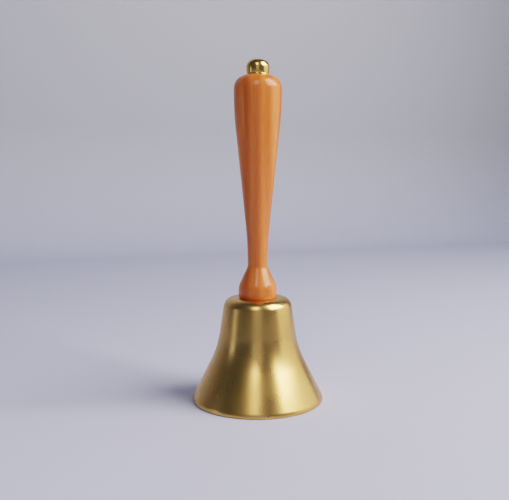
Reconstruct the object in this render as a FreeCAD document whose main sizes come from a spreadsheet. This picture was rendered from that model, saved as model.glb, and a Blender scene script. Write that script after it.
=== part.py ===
"""Hand bell: a cast brass bell on a turned wooden handle, with a swivelling clapper inside.

Frame: millimetres, +Z up the handle. The origin is the centre of the mouth, on the plane that the
bell stands on. Every size that can be set by itself is one cell of the sheet "Sizes"; every level
below is worked out from those cells.
"""
import FreeCAD, Part
import math
import os

import Sketcher

DOCUMENT = "HandBell"
FULL_TURN = 360.0
SKIRT_SINE = 0.44                  # of the skirt's lean, for the drop of the wall's inner face
ORIGIN_POINT = (-1, 1)

SIZES = (
    # bell
    ("mouth_radius", 38.9),        # outside of the lip
    ("bell_height", 61.5),         # mouth to the top of the crown
    ("bell_wall", 2.2),
    ("crown_thickness", 3.0),
    ("crown_radius", 19.4),        # where the waist line would meet the crown's top
    ("shoulder_curve", 6.0),       # rounding between crown and waist
    ("waist_angle", 8.6),          # lean of the straight waist, degrees
    ("waist_length", 21.0),        # crown's top down to the start of the flare
    ("skirt_height", 22.5),        # top of the straight skirt, where the flare ends
    ("lip_curve", 5.0),            # rounding of the lip's outside
    ("lip_edge", 0.6),             # rounding of the lip's lower edge
    # handle
    ("handle_length", 129.0),
    ("foot_radius", 10.9),
    ("knob_radius", 11.35),
    ("knob_height", 4.0),          # height of the knob's widest place above the foot
    ("knob_curve", 4.8),           # height over which the knob rounds in
    ("neck_radius", 5.85),
    ("neck_height", 19.4),
    ("neck_lower_curve", 2.2),
    ("neck_upper_curve", 24.0),
    ("head_radius", 13.9),
    ("head_height", 119.5),
    ("head_curve", 21.0),
    ("head_round", 7.9),           # rounding of the handle's top
    ("spot_face", 0.3),            # shallow seat for the cap washer
    ("spot_face_margin", 0.2),
    # cap
    ("cap_radius", 6.35),
    ("cap_height", 8.4),
    ("cap_draft", 1.5),            # inward lean of the cap's side, degrees
    ("cap_edge_curve", 4.2),
    ("cap_crown_curve", 12.0),
    ("cap_bore_depth", 5.0),
    ("cap_washer_radius", 6.6),
    ("cap_washer_thickness", 0.8),
    # tie rod and what is on it
    ("rod_radius", 2.5),
    ("rod_end_gap", 0.5),          # rod's top to the bottom of the cap's bore
    ("rod_chamfer", 0.5),
    ("thread_gap", 0.05),          # plain cylinders stand in for threads
    ("hole_gap", 0.3),             # holes that the rod only passes through
    ("crown_washer_radius", 7.5),
    ("crown_washer_thickness", 1.0),
    ("lock_washer_radius", 4.6),
    ("lock_washer_thickness", 1.2),
    ("lock_washer_slit", 0.8),
    ("lock_washer_slant", 25.0),
    ("crown_nut_flats", 8.0),
    ("crown_nut_height", 2.7),
    ("swivel_nut_flats", 8.0),
    ("swivel_nut_height", 8.0),
    ("swivel_floor", 1.5),         # floor of the swivel nut, which carries the head
    ("nut_chamfer_angle", 30.0),
    # swivel eye
    ("swivel_head_thickness", 1.2),
    ("swivel_shank_radius", 1.2),
    ("swivel_play", 0.1),          # running clearance round and under the head
    ("eye_wire", 0.9),
    ("eye_ring", 3.0),             # to the centre of the wire
    ("eye_gap", 0.6),              # swivel nut down to the eye
    # clapper
    ("clapper_wire", 1.0),
    ("hook_ring", 2.4),            # to the centre of the wire
    ("hook_bend", 2.0),            # bend from the straight wire into the hook
    ("hook_opening_angle", 55.0),  # where the hook's end stops, below the horizontal
    ("hook_play", 0.1),
    ("ball_radius", 6.5),
    ("ball_bore_depth", 9.0),
    ("braze_gap", 0.02),
    ("ball_lift", 1.7),            # hanging ball above the mouth's plane
)

# Levels above the mouth, each from the one before it.
HANDLE_TOP = "(Sizes.bell_height + Sizes.handle_length)"
CAP_WASHER_BOTTOM = f"({HANDLE_TOP} - Sizes.spot_face)"
CAP_BOTTOM = f"({CAP_WASHER_BOTTOM} + Sizes.cap_washer_thickness)"
ROD_TOP = f"({CAP_BOTTOM} + Sizes.cap_bore_depth - Sizes.rod_end_gap)"
CROWN_UNDERSIDE = "(Sizes.bell_height - Sizes.crown_thickness)"
CROWN_WASHER_BOTTOM = f"({CROWN_UNDERSIDE} - Sizes.crown_washer_thickness)"
LOCK_WASHER_BOTTOM = f"({CROWN_WASHER_BOTTOM} - Sizes.lock_washer_thickness)"
CROWN_NUT_BOTTOM = f"({LOCK_WASHER_BOTTOM} - Sizes.crown_nut_height)"
SWIVEL_NUT_BOTTOM = f"({CROWN_NUT_BOTTOM} - Sizes.swivel_nut_height)"
SWIVEL_ROOM = "(Sizes.swivel_floor + Sizes.swivel_head_thickness + 5 * Sizes.swivel_play)"
ROD_BOTTOM = f"({SWIVEL_NUT_BOTTOM} + {SWIVEL_ROOM})"
EYE_CENTRE = f"({SWIVEL_NUT_BOTTOM} - Sizes.eye_gap - Sizes.eye_wire - Sizes.eye_ring)"
PIVOT = f"({EYE_CENTRE} - Sizes.eye_ring)"
HOOK_TOP = f"({PIVOT} + Sizes.eye_wire + Sizes.hook_play + Sizes.clapper_wire)"
HOOK_CENTRE = f"({HOOK_TOP} - Sizes.hook_ring)"
BALL_CENTRE = "(Sizes.ball_lift + Sizes.ball_radius)"
WIRE_FOOT = f"({BALL_CENTRE} + Sizes.ball_radius - Sizes.ball_bore_depth)"

# Radii that follow from the rod.
THREAD_BORE = "(Sizes.rod_radius + Sizes.thread_gap)"
CLEAR_BORE = "(Sizes.rod_radius + Sizes.hole_gap)"

doc = FreeCAD.newDocument(DOCUMENT)
sheet = doc.addObject("Spreadsheet::Sheet", "Sizes")


def fill_sheet():
    """Write every size and its alias, one to a row."""
    for row, (alias, number) in enumerate(SIZES, start=1):
        sheet.set(f"A{row}", alias)
        sheet.set(f"B{row}", str(number))
        sheet.setAlias(f"B{row}", alias)
    doc.recompute()


def number(expression):
    """The value of an expression on the sheet, as a plain number."""
    result = sheet.evalExpression(expression)
    return float(getattr(result, "Value", result))


def point(across, up):
    return FreeCAD.Vector(across, up, 0)


class Outline:
    """A chain of lines and arcs in one sketch, drawn with a pen and joined end to end."""

    def __init__(self, body, name, plane="XZ_Plane", start=(0.0, 0.0)):
        self.sketch = new_sketch(body, name, plane)
        self.pen = start
        self.edges = []

    def line_to(self, end):
        segment = Part.LineSegment(point(*self.pen), point(*end))
        return self.add_edge(segment, end, forward=True)

    def arc_to(self, end, centre):
        """Draw the shorter way round the centre."""
        angles = [math.atan2(p[1] - centre[1], p[0] - centre[0]) for p in (self.pen, end)]
        forward = math.sin(angles[1] - angles[0]) > 0
        return self.turn_to(end, centre, forward)

    def turn_to(self, end, centre, forward):
        """Draw round the centre, anticlockwise when forward."""
        radius = math.dist(self.pen, centre)
        circle = Part.Circle(point(*centre), FreeCAD.Vector(0, 0, 1), radius)
        first, last = (self.pen, end) if forward else (end, self.pen)
        angles = [math.atan2(p[1] - centre[1], p[0] - centre[0]) for p in (first, last)]
        return self.add_edge(Part.ArcOfCircle(circle, *angles), end, forward)

    def add_edge(self, geometry, end, forward):
        index = self.sketch.addGeometry(geometry, False)
        self.edges.append((index, 1, 2) if forward else (index, 2, 1))
        self.pen = end
        return len(self.edges) - 1

    def first(self, edge):
        index, begin, _ = self.edges[edge]
        return (index, begin)

    def last(self, edge):
        index, _, finish = self.edges[edge]
        return (index, finish)

    def centre(self, edge):
        return (self.edges[edge][0], 3)

    def rule(self, kind, *references):
        self.sketch.addConstraint(Sketcher.Constraint(kind, *references))

    def join(self, smooth, closed=True):
        """Join each edge to the next. Joints named in smooth are tangent."""
        count = len(self.edges)
        for edge in range(count if closed else count - 1):
            following = (edge + 1) % count
            kind = "Tangent" if edge in smooth else "Coincident"
            self.rule(kind, *self.last(edge), *self.first(following))

    def size(self, name, kind, references, expression):
        """Add a dimension and bind it to an expression of the sheet."""
        value = number(expression)
        if kind == "Angle":
            value = math.radians(value)
        index = self.sketch.addConstraint(Sketcher.Constraint(kind, *references, value))
        self.sketch.renameConstraint(index, name)
        self.sketch.setExpression(f"Constraints.{name}", expression)

    def across(self, name, place, expression):
        self.size(name, "DistanceX", (*ORIGIN_POINT, *place), expression)

    def up(self, name, place, expression):
        self.size(name, "DistanceY", (*ORIGIN_POINT, *place), expression)

    def radius(self, name, edge, expression):
        self.size(name, "Radius", (self.edges[edge][0],), expression)


def new_body(label, level=None):
    body = doc.addObject("PartDesign::Body", label)
    body.Label = label
    if level is not None:
        body.setExpression("Placement.Base.z", level)
    return body


def new_sketch(body, name, plane, level=None):
    """An empty sketch on one of the body's own origin planes, raised to a level if one is given."""
    sketch = body.newObject("Sketcher::SketchObject", name)
    origin_plane = next(f for f in body.Origin.OriginFeatures if f.Role == plane)
    sketch.AttachmentSupport = (origin_plane, [""])
    sketch.MapMode = "FlatFace"
    if level is not None:
        sketch.setExpression("AttachmentOffset.Base.z", level)
    return sketch


def turn(body, outline, kind="Revolution"):
    """Revolve an outline about the body's upright axis, adding or cutting."""
    feature = body.newObject(f"PartDesign::{kind}", f"{outline.sketch.Name}_turned")
    feature.Profile = outline.sketch
    feature.ReferenceAxis = (outline.sketch, ["V_Axis"])
    feature.Angle = FULL_TURN
    return feature


def circle_sketch(body, name, radii, level=None):
    """Concentric circles about the body's upright axis."""
    sketch = new_sketch(body, name, "XY_Plane", level)
    for ring, expression in enumerate(radii):
        circle = Part.Circle(point(0, 0), FreeCAD.Vector(0, 0, 1), number(expression))
        index = sketch.addGeometry(circle, False)
        sketch.addConstraint(Sketcher.Constraint("Coincident", index, 3, *ORIGIN_POINT))
        size = sketch.addConstraint(Sketcher.Constraint("Radius", index, number(expression)))
        sketch.renameConstraint(size, f"radius_{ring}")
        sketch.setExpression(f"Constraints.radius_{ring}", expression)
    return sketch


def bore(body, name, radius, depth, level=None):
    """Cut a round hole upwards from a level of the body, to a depth."""
    pocket = body.newObject("PartDesign::Pocket", name)
    pocket.Profile = circle_sketch(body, f"{name}_circle", [radius], level)
    pocket.Reversed = True
    pocket.setExpression("Length", depth)
    return pocket


def pad(body, sketch, height):
    feature = body.newObject("PartDesign::Pad", f"{sketch.Name}_pad")
    feature.Profile = sketch
    feature.setExpression("Length", height)
    return feature


def wall_points(lip, lip_radius, skirt_level, waist, lean, height, shoulder):
    """Corner points of one face of the bell's wall, for the first draft of its outline.

    The face rises from the lip's rounding through a straight skirt, one flare arc and the straight
    waist, and rounds over a shoulder on to the crown. The lip is the centre of its rounding and the
    lean is in radians. Returns each joint, with the centre of each arc after the arc's last joint.
    """
    out = (math.cos(lean), math.sin(lean))
    low, high = lean + 1e-6, math.pi / 2 - 1e-6
    for _ in range(60):
        slope = (low + high) / 2
        flare = (waist[1] - skirt_level) / (math.sin(slope) - out[1])
        skirt_top = (waist[0] + flare * (out[0] - math.cos(slope)), skirt_level)
        gap = ((skirt_top[0] - lip[0]) * math.cos(slope) + (skirt_top[1] - lip[1]) * math.sin(slope)
               - lip_radius)
        low, high = (slope, high) if gap < 0 else (low, slope)
    skirt_foot = (lip[0] + lip_radius * math.cos(slope), lip[1] + lip_radius * math.sin(slope))
    flare_centre = (waist[0] + flare * out[0], waist[1] + flare * out[1])
    level = height - shoulder
    across = waist[0] - (shoulder + out[1] * (level - waist[1])) / out[0]
    shoulder_foot = (across + shoulder * out[0], level + shoulder * out[1])
    return skirt_foot, skirt_top, flare_centre, shoulder_foot, (across, height), (across, level)


def wall_face(body, name, lip_radius, curve, skirt_level, waist_across, waist_level, shoulder, height,
              edge=None):
    """Outline between the axis and one face of the bell's wall, every size an expression."""
    top, level, rounding = number(height), number("Sizes.lip_edge"), number(curve)
    lip = (number(lip_radius), level)
    lip_centre = (lip[0] - rounding, level)
    waist = (number(waist_across), number(waist_level))
    lean = math.radians(number("Sizes.waist_angle"))
    skirt_foot, skirt_top, flare_centre, shoulder_foot, crown_edge, shoulder_centre = wall_points(
        lip_centre, rounding, number(skirt_level), waist, lean, top, number(shoulder))
    outline = Outline(body, name)
    if edge is None:
        rim = outline.line_to((lip[0], 0.0))
        side = outline.line_to(lip)
        outline.rule("Vertical", side)
    else:
        rim = outline.line_to((lip[0] - number(edge), 0.0))
        side = outline.arc_to(lip, (lip[0] - number(edge), number(edge)))
        outline.radius("edge", side, edge)
        outline.rule("Horizontal", *outline.centre(side), *outline.last(side))
    lip_arc = outline.arc_to(skirt_foot, lip_centre)
    skirt_line = outline.line_to(skirt_top)
    outline.arc_to(waist, flare_centre)
    waist_line = outline.line_to(shoulder_foot)
    shoulder_arc = outline.arc_to(crown_edge, shoulder_centre)
    crown = outline.line_to((0.0, top))
    axis = outline.line_to((0.0, 0.0))
    outline.join(smooth=set(range(side if edge is None else rim, crown)))
    outline.rule("Coincident", *outline.first(rim), *ORIGIN_POINT)
    outline.rule("Horizontal", rim)
    outline.rule("Horizontal", crown)
    outline.rule("Vertical", axis)
    outline.across("lip_radius", outline.last(side), lip_radius)
    if edge is None:
        outline.up("lip_level", outline.last(side), "Sizes.lip_edge")
    outline.radius("lip_curve", lip_arc, curve)
    outline.up("skirt_level", outline.last(skirt_line), skirt_level)
    outline.across("waist_across", outline.first(waist_line), waist_across)
    outline.up("waist_level", outline.first(waist_line), waist_level)
    outline.size("lean", "Angle", (waist_line,), "(90 + Sizes.waist_angle)")
    outline.radius("shoulder", shoulder_arc, shoulder)
    outline.up("top", outline.last(crown), height)
    return outline


def bell_shell():
    body = new_body("bell_shell")
    across = "(Sizes.crown_radius + tan(Sizes.waist_angle * 1deg) * Sizes.waist_length)"
    level = "(Sizes.bell_height - Sizes.waist_length)"
    outside = wall_face(body, "bell_outside", "Sizes.mouth_radius", "Sizes.lip_curve",
                        "Sizes.skirt_height", across, level, "Sizes.shoulder_curve",
                        "Sizes.bell_height", edge="Sizes.lip_edge")
    turn(body, outside)
    inside = wall_face(body, "bell_inside", "(Sizes.mouth_radius - Sizes.bell_wall)",
                       "(Sizes.lip_curve - Sizes.bell_wall)",
                       f"(Sizes.skirt_height - Sizes.bell_wall * {SKIRT_SINE})",
                       f"({across} - Sizes.bell_wall * cos(Sizes.waist_angle * 1deg))",
                       f"({level} - Sizes.bell_wall * sin(Sizes.waist_angle * 1deg))",
                       "(Sizes.shoulder_curve - Sizes.bell_wall)", CROWN_UNDERSIDE)
    turn(body, inside, "Groove")
    bore(body, "crown_hole", CLEAR_BORE, "Sizes.bell_height")
    return body


def wooden_handle():
    body = new_body("wooden_handle", "Sizes.bell_height")
    sizes = {alias: number(f"Sizes.{alias}") for alias, _ in SIZES}
    foot = (sizes["foot_radius"], 0.0)
    knob = (sizes["knob_radius"], sizes["knob_height"])
    neck = (sizes["neck_radius"], sizes["neck_height"])
    head = (sizes["head_radius"], sizes["head_height"])
    top = sizes["handle_length"]
    rounded = sizes["head_round"]
    knob_bend = bend(knob, neck, sizes["knob_curve"], sizes["neck_lower_curve"])
    head_bend = bend(neck, head, sizes["neck_upper_curve"], sizes["head_curve"])
    foot_curve = (knob[1] ** 2 + (knob[0] - foot[0]) ** 2) / (2 * (knob[0] - foot[0]))
    outline = Outline(body, "handle_side")
    base = outline.line_to(foot)
    outline.arc_to(knob, (knob[0] - foot_curve, knob[1]))
    outline.arc_to(knob_bend[0], knob_bend[1])
    outline.line_to(knob_bend[2])
    outline.arc_to(neck, knob_bend[3])
    outline.arc_to(head_bend[0], head_bend[1])
    outline.line_to(head_bend[2])
    outline.arc_to(head, head_bend[3])
    side = outline.line_to((head[0], top - rounded))
    crown = outline.arc_to((head[0] - rounded, top), (head[0] - rounded, top - rounded))
    flat = outline.line_to((0.0, top))
    axis = outline.line_to((0.0, 0.0))
    outline.join(smooth=set(range(base + 1, crown + 1)))
    outline.rule("Coincident", *outline.first(base), *ORIGIN_POINT)
    outline.rule("Horizontal", base)
    outline.rule("Horizontal", flat)
    outline.rule("Vertical", side)
    outline.rule("Vertical", axis)
    outline.across("foot", outline.last(base), "Sizes.foot_radius")
    outline.across("knob", outline.last(base + 1), "Sizes.knob_radius")
    outline.up("knob_level", outline.last(base + 1), "Sizes.knob_height")
    outline.rule("Horizontal", *outline.centre(base + 1), *outline.last(base + 1))
    outline.up("knob_curve_end", outline.last(base + 2), "Sizes.knob_height + Sizes.knob_curve")
    outline.up("neck_curve_start", outline.last(base + 3),
               "Sizes.neck_height - Sizes.neck_lower_curve")
    outline.across("neck", outline.last(base + 4), "Sizes.neck_radius")
    outline.up("neck_level", outline.last(base + 4), "Sizes.neck_height")
    outline.rule("Horizontal", *outline.centre(base + 4), *outline.last(base + 4))
    outline.up("neck_curve_end", outline.last(base + 5),
               "Sizes.neck_height + Sizes.neck_upper_curve")
    outline.up("head_curve_start", outline.last(base + 6), "Sizes.head_height - Sizes.head_curve")
    outline.across("head", outline.last(base + 7), "Sizes.head_radius")
    outline.up("head_level", outline.last(base + 7), "Sizes.head_height")
    outline.radius("head_round", crown, "Sizes.head_round")
    outline.up("top", outline.last(flat), "Sizes.handle_length")
    turn(body, outline)
    bore(body, "rod_hole", CLEAR_BORE, "Sizes.handle_length")
    bore(body, "spot_face", "(Sizes.cap_washer_radius + Sizes.spot_face_margin)",
         "Sizes.handle_length", "(Sizes.handle_length - Sizes.spot_face)")
    return body


def bend(start, end, start_run, end_run):
    """An S bend between two upright tangents, as two arcs with a straight between them.

    The runs are the heights that the arcs take. Returns the straight's two ends and, after each,
    the centre of the arc that it belongs to.
    """
    rise = end[1] - start[1]
    shift = abs(end[0] - start[0])
    side = math.copysign(1.0, end[0] - start[0])
    straight = rise - start_run - end_run
    low, high = 0.0, math.pi / 2
    for _ in range(60):
        lean = (low + high) / 2
        reached = (start_run + end_run) * math.tan(lean / 2) + straight * math.tan(lean)
        low, high = (lean, high) if reached < shift else (low, lean)
    first_radius = start_run / math.sin(lean)
    last_radius = end_run / math.sin(lean)
    first = (start[0] + side * start_run * math.tan(lean / 2), start[1] + start_run)
    last = (end[0] - side * end_run * math.tan(lean / 2), end[1] - end_run)
    first_centre = (start[0] + side * first_radius, start[1])
    last_centre = (end[0] - side * last_radius, end[1])
    return first, first_centre, last, last_centre


def cap_nut():
    body = new_body("cap_nut", CAP_BOTTOM)
    radius, height = number("Sizes.cap_radius"), number("Sizes.cap_height")
    edge, crown = number("Sizes.cap_edge_curve"), number("Sizes.cap_crown_curve")
    draft = math.radians(number("Sizes.cap_draft"))
    crown_centre = (0.0, height - crown)
    reach = crown - edge
    # The edge's centre is an edge radius inside the leaning side, and a reach from the crown's.
    lean_offset = radius * math.cos(draft) - edge - crown_centre[1] * math.sin(draft)
    swing = math.asin(lean_offset / reach)
    edge_centre = (reach * math.sin(swing + draft), crown_centre[1] + reach * math.cos(swing + draft))
    side_end = (edge_centre[0] + edge * math.cos(draft), edge_centre[1] + edge * math.sin(draft))
    crown_foot = (crown * math.sin(swing + draft), crown_centre[1] + crown * math.cos(swing + draft))
    outline = Outline(body, "cap_side")
    base = outline.line_to((radius, 0.0))
    side = outline.line_to(side_end)
    edge_arc = outline.arc_to(crown_foot, edge_centre)
    crown_arc = outline.arc_to((0.0, height), crown_centre)
    axis = outline.line_to((0.0, 0.0))
    outline.join(smooth={side, edge_arc})
    outline.rule("Coincident", *outline.first(base), *ORIGIN_POINT)
    outline.rule("Horizontal", base)
    outline.rule("Vertical", axis)
    outline.rule("Vertical", *outline.centre(crown_arc), *outline.last(crown_arc))
    outline.across("radius", outline.last(base), "Sizes.cap_radius")
    outline.size("draft", "Angle", (side,), "(90 + Sizes.cap_draft)")
    outline.radius("edge", edge_arc, "Sizes.cap_edge_curve")
    outline.radius("crown", crown_arc, "Sizes.cap_crown_curve")
    outline.up("top", outline.last(crown_arc), "Sizes.cap_height")
    turn(body, outline)
    bore(body, "cap_bore", THREAD_BORE, "Sizes.cap_bore_depth")
    return body


def plain_washer(label, radius, thickness, level):
    body = new_body(label, level)
    pad(body, circle_sketch(body, f"{label}_rings", [radius, CLEAR_BORE]), thickness)
    return body


def tie_rod():
    """Plain steel rod from the swivel nut to the cap, its ends chamfered."""
    body = new_body("tie_rod", ROD_BOTTOM)
    rod = pad(body, circle_sketch(body, "rod_circle", ["Sizes.rod_radius"]),
              f"({ROD_TOP} - {ROD_BOTTOM})")
    doc.recompute()
    ends = [f"Edge{i}" for i, edge in enumerate(rod.Shape.Edges, start=1)
            if isinstance(edge.Curve, Part.Circle)]
    chamfer = body.newObject("PartDesign::Chamfer", "rod_ends")
    chamfer.Base = (rod, ends)
    chamfer.setExpression("Size", "Sizes.rod_chamfer")
    return body


def primitive(kind, name, placement=None, **sizes):
    """A Part primitive whose sizes, and placement where given, follow the sheet."""
    solid = doc.addObject(f"Part::{kind}", name)
    solid.Label = name
    for size, expression in sizes.items():
        solid.setExpression(size, expression)
    for path, expression in (placement or {}).items():
        solid.setExpression(f"Placement.{path}", expression)
    return solid


def cut(name, base, tool, level=None):
    result = doc.addObject("Part::Cut", name)
    result.Label = name
    result.Base = base
    result.Tool = tool
    if level is not None:
        result.setExpression("Placement.Base.z", level)
    return result


def lock_washer():
    """Split spring washer: a ring with one slanted slit."""
    disc = primitive("Cylinder", "lock_disc", Radius="Sizes.lock_washer_radius",
                     Height="Sizes.lock_washer_thickness")
    hole = primitive("Cylinder", "lock_hole", Radius=CLEAR_BORE,
                     Height="Sizes.lock_washer_thickness")
    slit = primitive("Box", "lock_slit", Length="Sizes.lock_washer_radius",
                     Width="Sizes.lock_washer_slit", Height="4 * Sizes.lock_washer_thickness",
                     placement={"Base.z": "-Sizes.lock_washer_thickness"})
    slit.Placement.Rotation = FreeCAD.Rotation(FreeCAD.Vector(1, 0, 0),
                                               number("Sizes.lock_washer_slant"))
    ring = cut("lock_ring", disc, hole)
    return cut("lock_washer", ring, slit, LOCK_WASHER_BOTTOM)


def hexagon_sketch(body, name, flats):
    """A regular hexagon on the body's base, sized across its flats."""
    sketch = new_sketch(body, name, "XY_Plane")
    corner = number(flats) / 2 / math.cos(math.pi / 6)
    places = [point(corner * math.cos(i * math.pi / 3), corner * math.sin(i * math.pi / 3))
              for i in range(6)]
    for i in range(6):
        sketch.addGeometry(Part.LineSegment(places[i], places[(i + 1) % 6]), False)
    ring = sketch.addGeometry(Part.Circle(point(0, 0), FreeCAD.Vector(0, 0, 1), corner), True)
    sketch.addConstraint(Sketcher.Constraint("Coincident", ring, 3, *ORIGIN_POINT))
    for i in range(6):
        sketch.addConstraint(Sketcher.Constraint("Coincident", i, 2, (i + 1) % 6, 1))
        sketch.addConstraint(Sketcher.Constraint("PointOnObject", i, 1, ring))
        if i:
            sketch.addConstraint(Sketcher.Constraint("Equal", 0, i))
    sketch.addConstraint(Sketcher.Constraint("PointOnObject", 0, 1, -1))
    size = sketch.addConstraint(Sketcher.Constraint("Radius", ring, corner))
    sketch.renameConstraint(size, "corner")
    sketch.setExpression("Constraints.corner", f"({flats} / 2 / cos(30deg))")
    return sketch


def hexagon_nut(label, flats, height, level):
    """Hexagon nut with both faces chamfered; its bore is cut by the caller."""
    body = new_body(label, level)
    pad(body, hexagon_sketch(body, f"{label}_hexagon", flats), height)
    flat = f"({flats} / 2)"
    corner = f"({flats} / 2 / cos(30deg))"
    drop = f"(({corner} - {flat}) * tan(Sizes.nut_chamfer_angle * 1deg))"
    for end, (face, edge) in {"lower": ("0", drop), "upper": (height, f"({height} - {drop})")}.items():
        outline = Outline(body, f"{label}_{end}_corner", start=(number(flat), number(face)))
        outline.line_to((number(corner), number(edge)))
        outline.line_to((number(corner), number(face)))
        outline.line_to((number(flat), number(face)))
        outline.join(smooth=set())
        outline.rule("Vertical", 1)
        outline.rule("Horizontal", 2)
        outline.across("flat", outline.first(0), flat)
        outline.across("corner", outline.last(0), corner)
        outline.up("edge", outline.last(0), edge)
        if end == "upper":
            outline.up("face", outline.first(0), face)
        else:
            outline.rule("PointOnObject", *outline.first(0), -1)
        turn(body, outline, "Groove")
    return body


def crown_nut():
    body = hexagon_nut("crown_nut", "Sizes.crown_nut_flats", "Sizes.crown_nut_height",
                       CROWN_NUT_BOTTOM)
    bore(body, "crown_nut_bore", THREAD_BORE, "Sizes.crown_nut_height")
    return body


def swivel_nut():
    body = hexagon_nut("swivel_nut", "Sizes.swivel_nut_flats", "Sizes.swivel_nut_height",
                       SWIVEL_NUT_BOTTOM)
    bore(body, "swivel_nut_bore", THREAD_BORE, "Sizes.swivel_nut_height", "Sizes.swivel_floor")
    bore(body, "swivel_hole", "(Sizes.swivel_shank_radius + Sizes.swivel_play)",
         "Sizes.swivel_nut_height")
    return body


def fuse(name, shapes, level):
    result = doc.addObject("Part::MultiFuse", name)
    result.Label = name
    result.Shapes = shapes
    result.Refine = True
    result.setExpression("Placement.Base.z", level)
    return result


def swivel_eye():
    """Ring of wire under a headed shank, drawn about the ring's centre."""
    ring = primitive("Torus", "eye_ring", Radius1="Sizes.eye_ring", Radius2="Sizes.eye_wire")
    ring.Placement.Rotation = FreeCAD.Rotation(FreeCAD.Vector(1, 0, 0), 90)
    head_level = "(Sizes.eye_ring + Sizes.eye_wire + Sizes.eye_gap + Sizes.swivel_floor"
    head_level += " + Sizes.swivel_play)"
    shank = primitive("Cylinder", "swivel_shank", Radius="Sizes.swivel_shank_radius",
                      Height=f"({head_level} - Sizes.eye_ring)",
                      placement={"Base.z": "Sizes.eye_ring"})
    head = primitive("Cylinder", "swivel_head", Radius=f"({THREAD_BORE} - 2 * Sizes.swivel_play)",
                     Height="Sizes.swivel_head_thickness", placement={"Base.z": head_level})
    return fuse("swivel_eye", [ring, shank, head], EYE_CENTRE)


def clapper_rod():
    """Straight wire with a hook bent round at its top, drawn up from its foot."""
    body = new_body("clapper_rod", WIRE_FOOT)
    hook, turn_radius = number("Sizes.hook_ring"), number("Sizes.hook_bend")
    hook_level = number(f"({HOOK_CENTRE} - {WIRE_FOOT})")
    bend_level = hook_level - math.sqrt((hook + turn_radius) ** 2 - turn_radius ** 2)
    share = turn_radius / (hook + turn_radius)
    meeting = (turn_radius * (share - 1), bend_level + (hook_level - bend_level) * share)
    stop = math.radians(number("Sizes.hook_opening_angle"))
    tip = (hook * math.cos(stop), hook_level - hook * math.sin(stop))
    path = Outline(body, "clapper_path", "YZ_Plane")
    wire = path.line_to((0.0, bend_level))
    bend_arc = path.arc_to(meeting, (-turn_radius, bend_level))
    hook_arc = path.turn_to(tip, (0.0, hook_level), forward=False)
    path.join(smooth={wire, bend_arc}, closed=False)
    path.rule("Coincident", *path.first(wire), *ORIGIN_POINT)
    path.rule("Vertical", wire)
    path.rule("PointOnObject", *path.centre(hook_arc), -2)
    path.up("hook_centre", path.centre(hook_arc), f"({HOOK_CENTRE} - {WIRE_FOOT})")
    path.radius("hook", hook_arc, "Sizes.hook_ring")
    path.radius("bend", bend_arc, "Sizes.hook_bend")
    path.across("tip", path.last(hook_arc), "(Sizes.hook_ring * cos(Sizes.hook_opening_angle * 1deg))")
    pipe = body.newObject("PartDesign::AdditivePipe", "bent_wire")
    pipe.Profile = circle_sketch(body, "wire_circle", ["Sizes.clapper_wire"])
    pipe.Spine = path.sketch
    return body


def clapper_ball():
    """Ball with a blind hole that the wire is brazed into, drawn about its centre."""
    ball = primitive("Sphere", "ball", Radius="Sizes.ball_radius")
    hole = primitive("Cylinder", "ball_hole", Radius="(Sizes.clapper_wire + Sizes.braze_gap)",
                     Height="2 * Sizes.ball_radius",
                     placement={"Base.z": "(Sizes.ball_radius - Sizes.ball_bore_depth)"})
    return cut("clapper_ball", ball, hole, BALL_CENTRE)


def check_document():
    """Stop if any object failed, or if a feature that should cut has cut nothing."""
    for item in doc.Objects:
        if {"Invalid", "Error"} & set(item.State):
            raise RuntimeError(f"{item.Name} failed: {item.State}")
        if item.TypeId in ("PartDesign::Pocket", "PartDesign::Groove"):
            if item.BaseFeature.Shape.Volume - item.Shape.Volume < 1e-3:
                raise RuntimeError(f"{item.Name} cuts nothing")


def export(pieces):
    os.makedirs("parts", exist_ok=True)
    for piece in pieces:
        if piece.Shape.isNull() or not piece.Shape.isValid():
            raise RuntimeError(f"{piece.Label} has no valid shape")
        piece.Shape.exportStep(f"parts/{piece.Label}.step")
        box = piece.Shape.BoundBox
        print(f"{piece.Label:15} {piece.Shape.Volume:9.1f} mm3  z {box.ZMin:7.2f} {box.ZMax:7.2f}")


def main():
    fill_sheet()
    pieces = [
        bell_shell(),
        wooden_handle(),
        plain_washer("cap_washer", "Sizes.cap_washer_radius", "Sizes.cap_washer_thickness",
                     CAP_WASHER_BOTTOM),
        cap_nut(),
        tie_rod(),
        plain_washer("crown_washer", "Sizes.crown_washer_radius", "Sizes.crown_washer_thickness",
                     CROWN_WASHER_BOTTOM),
        lock_washer(),
        crown_nut(),
        swivel_nut(),
        swivel_eye(),
        clapper_rod(),
        clapper_ball(),
    ]
    doc.recompute()
    check_document()
    export(pieces)


main()
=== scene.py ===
"""Looks of a hand bell: a cast brass bell under a turned wooden handle, with its clapper inside.

Every piece is built in place, in metres, round the upright axis of the bell. Sizes inside the
classes are in millimetres and are turned to metres by the one scale MM.
"""

import logging
import math
from dataclasses import dataclass
from enum import Enum
from functools import cached_property
from typing import Callable, Iterable

import bmesh
import bpy
from mathutils import Matrix, Vector


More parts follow.
